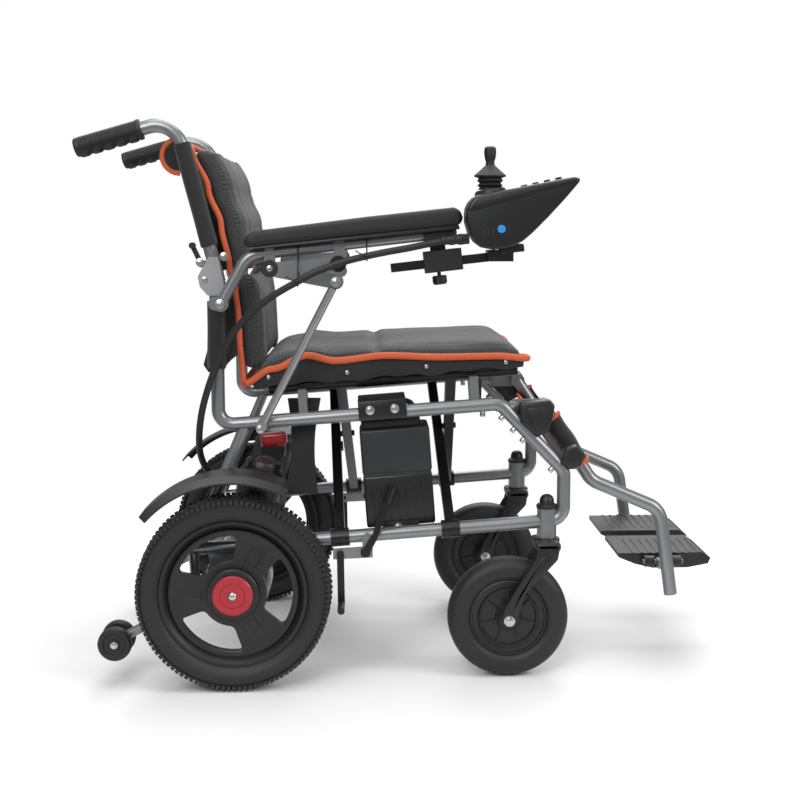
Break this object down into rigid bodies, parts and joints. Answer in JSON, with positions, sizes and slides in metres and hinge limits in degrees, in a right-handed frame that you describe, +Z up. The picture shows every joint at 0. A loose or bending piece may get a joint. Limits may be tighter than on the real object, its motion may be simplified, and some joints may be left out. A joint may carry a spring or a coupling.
{
  "type": "power wheelchair",
  "caption": "Folding power wheelchair with bent-tube side frames, crossed braces, hub-driven rear wheels, castors, flip-up arms, joystick and leg rests.",
  "frame": {"origin": "centre of the box on the floor", "axes": "+X forward, +Y to the sitter's left, +Z up"},
  "size_m": [1.0488, 0.601, 0.9116],
  "materials": {
    "frame_paint": "satin grey powder coat on aluminium",
    "black_plastic": "fine-grained moulded black",
    "tyre_rubber": "matt black tyre",
    "soft_rubber": "soft black rubber",
    "cast_metal": "as-cast, silver",
    "arm_foam": "self-skinned black foam with a leather grain",
    "dark_steel": "satin black paint on steel",
    "light_steel": "light grey paint",
    "red_plastic": "gloss red",
    "mesh_cloth": "spacer mesh in a dark herringbone, orange piping",
    "black_web": "black woven nylon"
  },
  "bodies": {
    "root": {"frame_r": "frame_paint", "fender_r": "black_plastic", "drive_unit_r": "cast_metal", "hinge_bracket_r": "cast_metal", "back_pad_lower": "mesh_cloth", "battery": "black_plastic", "control_cable": "soft_rubber"},
    "frame_left": {"frame_l": "frame_paint", "fender_l": "black_plastic", "drive_unit_l": "cast_metal", "hinge_bracket_l": "cast_metal"},
    "cross_a": {"brace_a": "dark_steel"},
    "cross_b": {"brace_b": "dark_steel"},
    "seat": {"seat_sling": "black_web", "seat_pad": "mesh_cloth"},
    "back_r": {"back_post_r": "frame_paint", "grip_r": "soft_rubber", "back_pad_upper": "mesh_cloth"},
    "back_l": {"back_post_l": "frame_paint", "grip_l": "soft_rubber"},
    "controls": {"controller": "black_plastic", "mount_bar": "dark_steel"},
    "arm_r": {"arm_tube_r": "frame_paint", "arm_pad_r": "arm_foam", "bar_clamp": "black_plastic"},
    "arm_l": {"arm_tube_l": "frame_paint", "arm_pad_l": "arm_foam"},
    "stick": {"joystick": "soft_rubber"},
    "knob": {"clamp_knob": "black_plastic"},
    "wheel_r": {"rear_tyre_r": "tyre_rubber", "rear_wheel_r": "black_plastic"},
    "castor_swivel_r": {"castor_fork_r": "black_plastic"},
    "castor_r": {"castor_wheel_r": "tyre_rubber"},
    "tipper_r": {"tipper_wheels_r": "tyre_rubber"},
    "lever_r": {"release_lever_r": "black_plastic"},
    "link_r": {"arm_link_r": "dark_steel"},
    "strut_r": {"arm_strut_r": "light_steel"},
    "button_r": {"arm_button_r": "red_plastic"},
    "leg_r": {"leg_tube_r": "frame_paint", "calf_strap": "black_web"},
    "plate_r": {"footplate_r": "black_plastic"},
    "lock_lever_r": {"brake_lever_r": "dark_steel"},
    "lock_shoe_r": {"brake_shoe_r": "dark_steel"},
    "wheel_l": {"rear_tyre_l": "tyre_rubber", "rear_wheel_l": "black_plastic"},
    "castor_swivel_l": {"castor_fork_l": "black_plastic"},
    "castor_l": {"castor_wheel_l": "tyre_rubber"},
    "tipper_l": {"tipper_wheels_l": "tyre_rubber"},
    "lever_l": {"release_lever_l": "black_plastic"},
    "link_l": {"arm_link_l": "dark_steel"},
    "strut_l": {"arm_strut_l": "light_steel"},
    "button_l": {"arm_button_l": "red_plastic"},
    "leg_l": {"leg_tube_l": "frame_paint"},
    "plate_l": {"footplate_l": "black_plastic"},
    "lock_lever_l": {"brake_lever_l": "dark_steel"},
    "lock_shoe_l": {"brake_shoe_l": "dark_steel"},
    "key_1": {"key_1": "black_plastic"},
    "key_2": {"key_2": "black_plastic"},
    "key_3": {"key_3": "black_plastic"},
    "key_4": {"key_4": "black_plastic"}
  },
  "joints": [
    {"name": "fold", "type": "hinge", "parent": "root", "child": "cross_a", "pos_m": [0, -0.219, 0.24267], "axis": [0.9976, 0, 0.0698], "range_deg": [0, 30], "deforming": ["seat_sling", "seat_pad", "back_pad_lower", "back_pad_upper", "calf_strap"]},
    {"name": "fold_cross", "type": "hinge", "parent": "cross_a", "child": "cross_b", "pos_m": [-0.00962, 0, 0.38032], "axis": [0.9976, 0, 0.0698], "range_deg": [-60, 0]},
    {"name": "fold_left_frame", "type": "hinge", "parent": "cross_b", "child": "frame_left", "pos_m": [0, 0.219, 0.24267], "axis": [0.9976, 0, 0.0698], "range_deg": [0, 30]},
    {"name": "fold_seat", "type": "hinge", "parent": "cross_a", "child": "seat", "pos_m": [-0.01754, 0.18, 0.49345], "axis": [0.9976, 0, 0.0698], "range_deg": [-30, 0]},
    {"name": "back_fold_r", "type": "hinge", "parent": "root", "child": "back_r", "pos_m": [-0.318, -0.219, 0.65755], "axis": [0, -1, 0], "range_deg": [0, 100]},
    {"name": "release_r", "type": "hinge", "parent": "back_r", "child": "lever_r", "pos_m": [-0.32413, -0.219, 0.68271], "axis": [0, -1, 0], "range_deg": [0, 25], "stiffness_Nm_per_rad": 0.05},
    {"name": "arm_lift_r", "type": "hinge", "parent": "root", "child": "arm_r", "pos_m": [-0.292, -0.244, 0.62055], "axis": [0, -1, 0], "range_deg": [0, 80], "deforming": ["control_cable"]},
    {"name": "arm_link_turn_r", "type": "hinge", "parent": "arm_r", "child": "link_r", "pos_m": [-0.213, -0.244, 0.67655], "axis": [0, -1, 0], "range_deg": [-80.79, 0]},
    {"name": "arm_strut_turn_r", "type": "hinge", "parent": "root", "child": "strut_r", "pos_m": [-0.231, -0.244, 0.42352], "axis": [0, -1, 0], "range_deg": [0, 27.47]},
    {"name": "arm_button_press_r", "type": "slide", "parent": "link_r", "child": "button_r", "axis": [0, 1, 0], "range_m": [0, 0.003], "stiffness_N_per_m": 300},
    {"name": "wheel_spin_r", "type": "hinge", "parent": "root", "child": "wheel_r", "pos_m": [-0.278, -0.266, 0.1575], "axis": [0, 1, 0], "continuous": true},
    {"name": "castor_swivel_r", "type": "hinge", "parent": "root", "child": "castor_swivel_r", "pos_m": [0.2335, -0.219, 0.232], "axis": [0, 0, 1], "continuous": true},
    {"name": "castor_spin_r", "type": "hinge", "parent": "castor_swivel_r", "child": "castor_r", "pos_m": [0.1695, -0.219, 0.1], "axis": [0, 1, 0], "continuous": true},
    {"name": "tipper_spin_r", "type": "hinge", "parent": "root", "child": "tipper_r", "pos_m": [-0.477, -0.219, 0.065], "axis": [0, 1, 0], "continuous": true},
    {"name": "leg_lift_r", "type": "hinge", "parent": "root", "child": "leg_r", "pos_m": [0.23, -0.187, 0.44651], "axis": [0, -1, 0], "range_deg": [0, 60]},
    {"name": "plate_flip_r", "type": "hinge", "parent": "leg_r", "child": "plate_r", "pos_m": [0.44, -0.163, 0.17451], "axis": [1, 0, 0], "range_deg": [0, 90]},
    {"name": "lock_lever_turn_r", "type": "hinge", "parent": "root", "child": "lock_lever_r", "pos_m": [-0.0655, -0.234, 0.21309], "axis": [0, 1, 0], "range_deg": [0, 40]},
    {"name": "lock_shoe_turn_r", "type": "hinge", "parent": "root", "child": "lock_shoe_r", "pos_m": [-0.1065, -0.234, 0.21022], "axis": [0, 1, 0], "range_deg": [0, 8]},
    {"name": "back_fold_l", "type": "hinge", "parent": "frame_left", "child": "back_l", "pos_m": [-0.318, 0.219, 0.65755], "axis": [0, -1, 0], "range_deg": [0, 100]},
    {"name": "release_l", "type": "hinge", "parent": "back_l", "child": "lever_l", "pos_m": [-0.32413, 0.219, 0.68271], "axis": [0, -1, 0], "range_deg": [0, 25], "stiffness_Nm_per_rad": 0.05},
    {"name": "arm_lift_l", "type": "hinge", "parent": "frame_left", "child": "arm_l", "pos_m": [-0.292, 0.244, 0.62055], "axis": [0, -1, 0], "range_deg": [0, 80]},
    {"name": "arm_link_turn_l", "type": "hinge", "parent": "arm_l", "child": "link_l", "pos_m": [-0.213, 0.244, 0.67655], "axis": [0, -1, 0], "range_deg": [-80.79, 0]},
    {"name": "arm_strut_turn_l", "type": "hinge", "parent": "frame_left", "child": "strut_l", "pos_m": [-0.231, 0.244, 0.42352], "axis": [0, -1, 0], "range_deg": [0, 27.47]},
    {"name": "arm_button_press_l", "type": "slide", "parent": "link_l", "child": "button_l", "axis": [0, -1, 0], "range_m": [0, 0.003], "stiffness_N_per_m": 300},
    {"name": "wheel_spin_l", "type": "hinge", "parent": "frame_left", "child": "wheel_l", "pos_m": [-0.278, 0.266, 0.1575], "axis": [0, 1, 0], "continuous": true},
    {"name": "castor_swivel_l", "type": "hinge", "parent": "frame_left", "child": "castor_swivel_l", "pos_m": [0.2335, 0.219, 0.232], "axis": [0, 0, 1], "continuous": true},
    {"name": "castor_spin_l", "type": "hinge", "parent": "castor_swivel_l", "child": "castor_l", "pos_m": [0.1695, 0.219, 0.1], "axis": [0, 1, 0], "continuous": true},
    {"name": "tipper_spin_l", "type": "hinge", "parent": "frame_left", "child": "tipper_l", "pos_m": [-0.477, 0.219, 0.065], "axis": [0, 1, 0], "continuous": true},
    {"name": "leg_lift_l", "type": "hinge", "parent": "frame_left", "child": "leg_l", "pos_m": [0.23, 0.187, 0.44651], "axis": [0, -1, 0], "range_deg": [0, 60]},
    {"name": "plate_flip_l", "type": "hinge", "parent": "leg_l", "child": "plate_l", "pos_m": [0.44, 0.163, 0.17451], "axis": [-1, 0, 0], "range_deg": [0, 90]},
    {"name": "lock_lever_turn_l", "type": "hinge", "parent": "frame_left", "child": "lock_lever_l", "pos_m": [-0.0655, 0.234, 0.21309], "axis": [0, 1, 0], "range_deg": [0, 40]},
    {"name": "lock_shoe_turn_l", "type": "hinge", "parent": "frame_left", "child": "lock_shoe_l", "pos_m": [-0.1065, 0.234, 0.21022], "axis": [0, 1, 0], "range_deg": [0, 8]},
    {"name": "bar_slide", "type": "slide", "parent": "arm_r", "child": "controls", "axis": [0.9942, 0, 0.108], "range_m": [0, 0.04], "deforming": ["control_cable"]},
    {"name": "stick_tilt", "type": "hinge", "parent": "controls", "child": "stick", "pos_m": [0.134, -0.2564, 0.79449], "axis": [0, 1, 0], "range_deg": [-18, 18], "stiffness_Nm_per_rad": 0.3},
    {"name": "key_press_1", "type": "slide", "parent": "controls", "child": "key_1", "axis": [0.2113, 0, -0.9774], "range_m": [0, 0.0015], "stiffness_N_per_m": 300},
    {"name": "key_press_2", "type": "slide", "parent": "controls", "child": "key_2", "axis": [0.2113, 0, -0.9774], "range_m": [0, 0.0015], "stiffness_N_per_m": 300},
    {"name": "key_press_3", "type": "slide", "parent": "controls", "child": "key_3", "axis": [0.2113, 0, -0.9774], "range_m": [0, 0.0015], "stiffness_N_per_m": 300},
    {"name": "key_press_4", "type": "slide", "parent": "controls", "child": "key_4", "axis": [0.2113, 0, -0.9774], "range_m": [0, 0.0015], "stiffness_N_per_m": 300},
    {"name": "knob_turn", "type": "hinge", "parent": "arm_r", "child": "knob", "pos_m": [0.05286, -0.244, 0.68397], "axis": [-0.108, 0, 0.9942], "range_deg": [0, 180]}
  ],
  "couplings": [
    {"joint": "fold_cross", "follows": "fold", "ratio": -2},
    {"joint": "fold_left_frame", "follows": "fold", "ratio": 1},
    {"joint": "fold_seat", "follows": "fold", "ratio": -1},
    {"joint": "arm_link_turn_r", "follows": "arm_lift_r", "ratio": -1.0097},
    {"joint": "arm_strut_turn_r", "follows": "arm_lift_r", "ratio": 0.3432},
    {"joint": "plate_flip_r", "follows": "fold", "ratio": 3},
    {"joint": "lock_shoe_turn_r", "follows": "lock_lever_turn_r", "ratio": 0.2},
    {"joint": "arm_link_turn_l", "follows": "arm_lift_l", "ratio": -1.0097},
    {"joint": "arm_strut_turn_l", "follows": "arm_lift_l", "ratio": 0.3432},
    {"joint": "plate_flip_l", "follows": "fold", "ratio": 3},
    {"joint": "lock_shoe_turn_l", "follows": "lock_lever_turn_l", "ratio": 0.2},
    {"joint": "leg_lift_l", "follows": "leg_lift_r", "ratio": 1},
    {"joint": "back_fold_l", "follows": "back_fold_r", "ratio": 1}
  ]
}
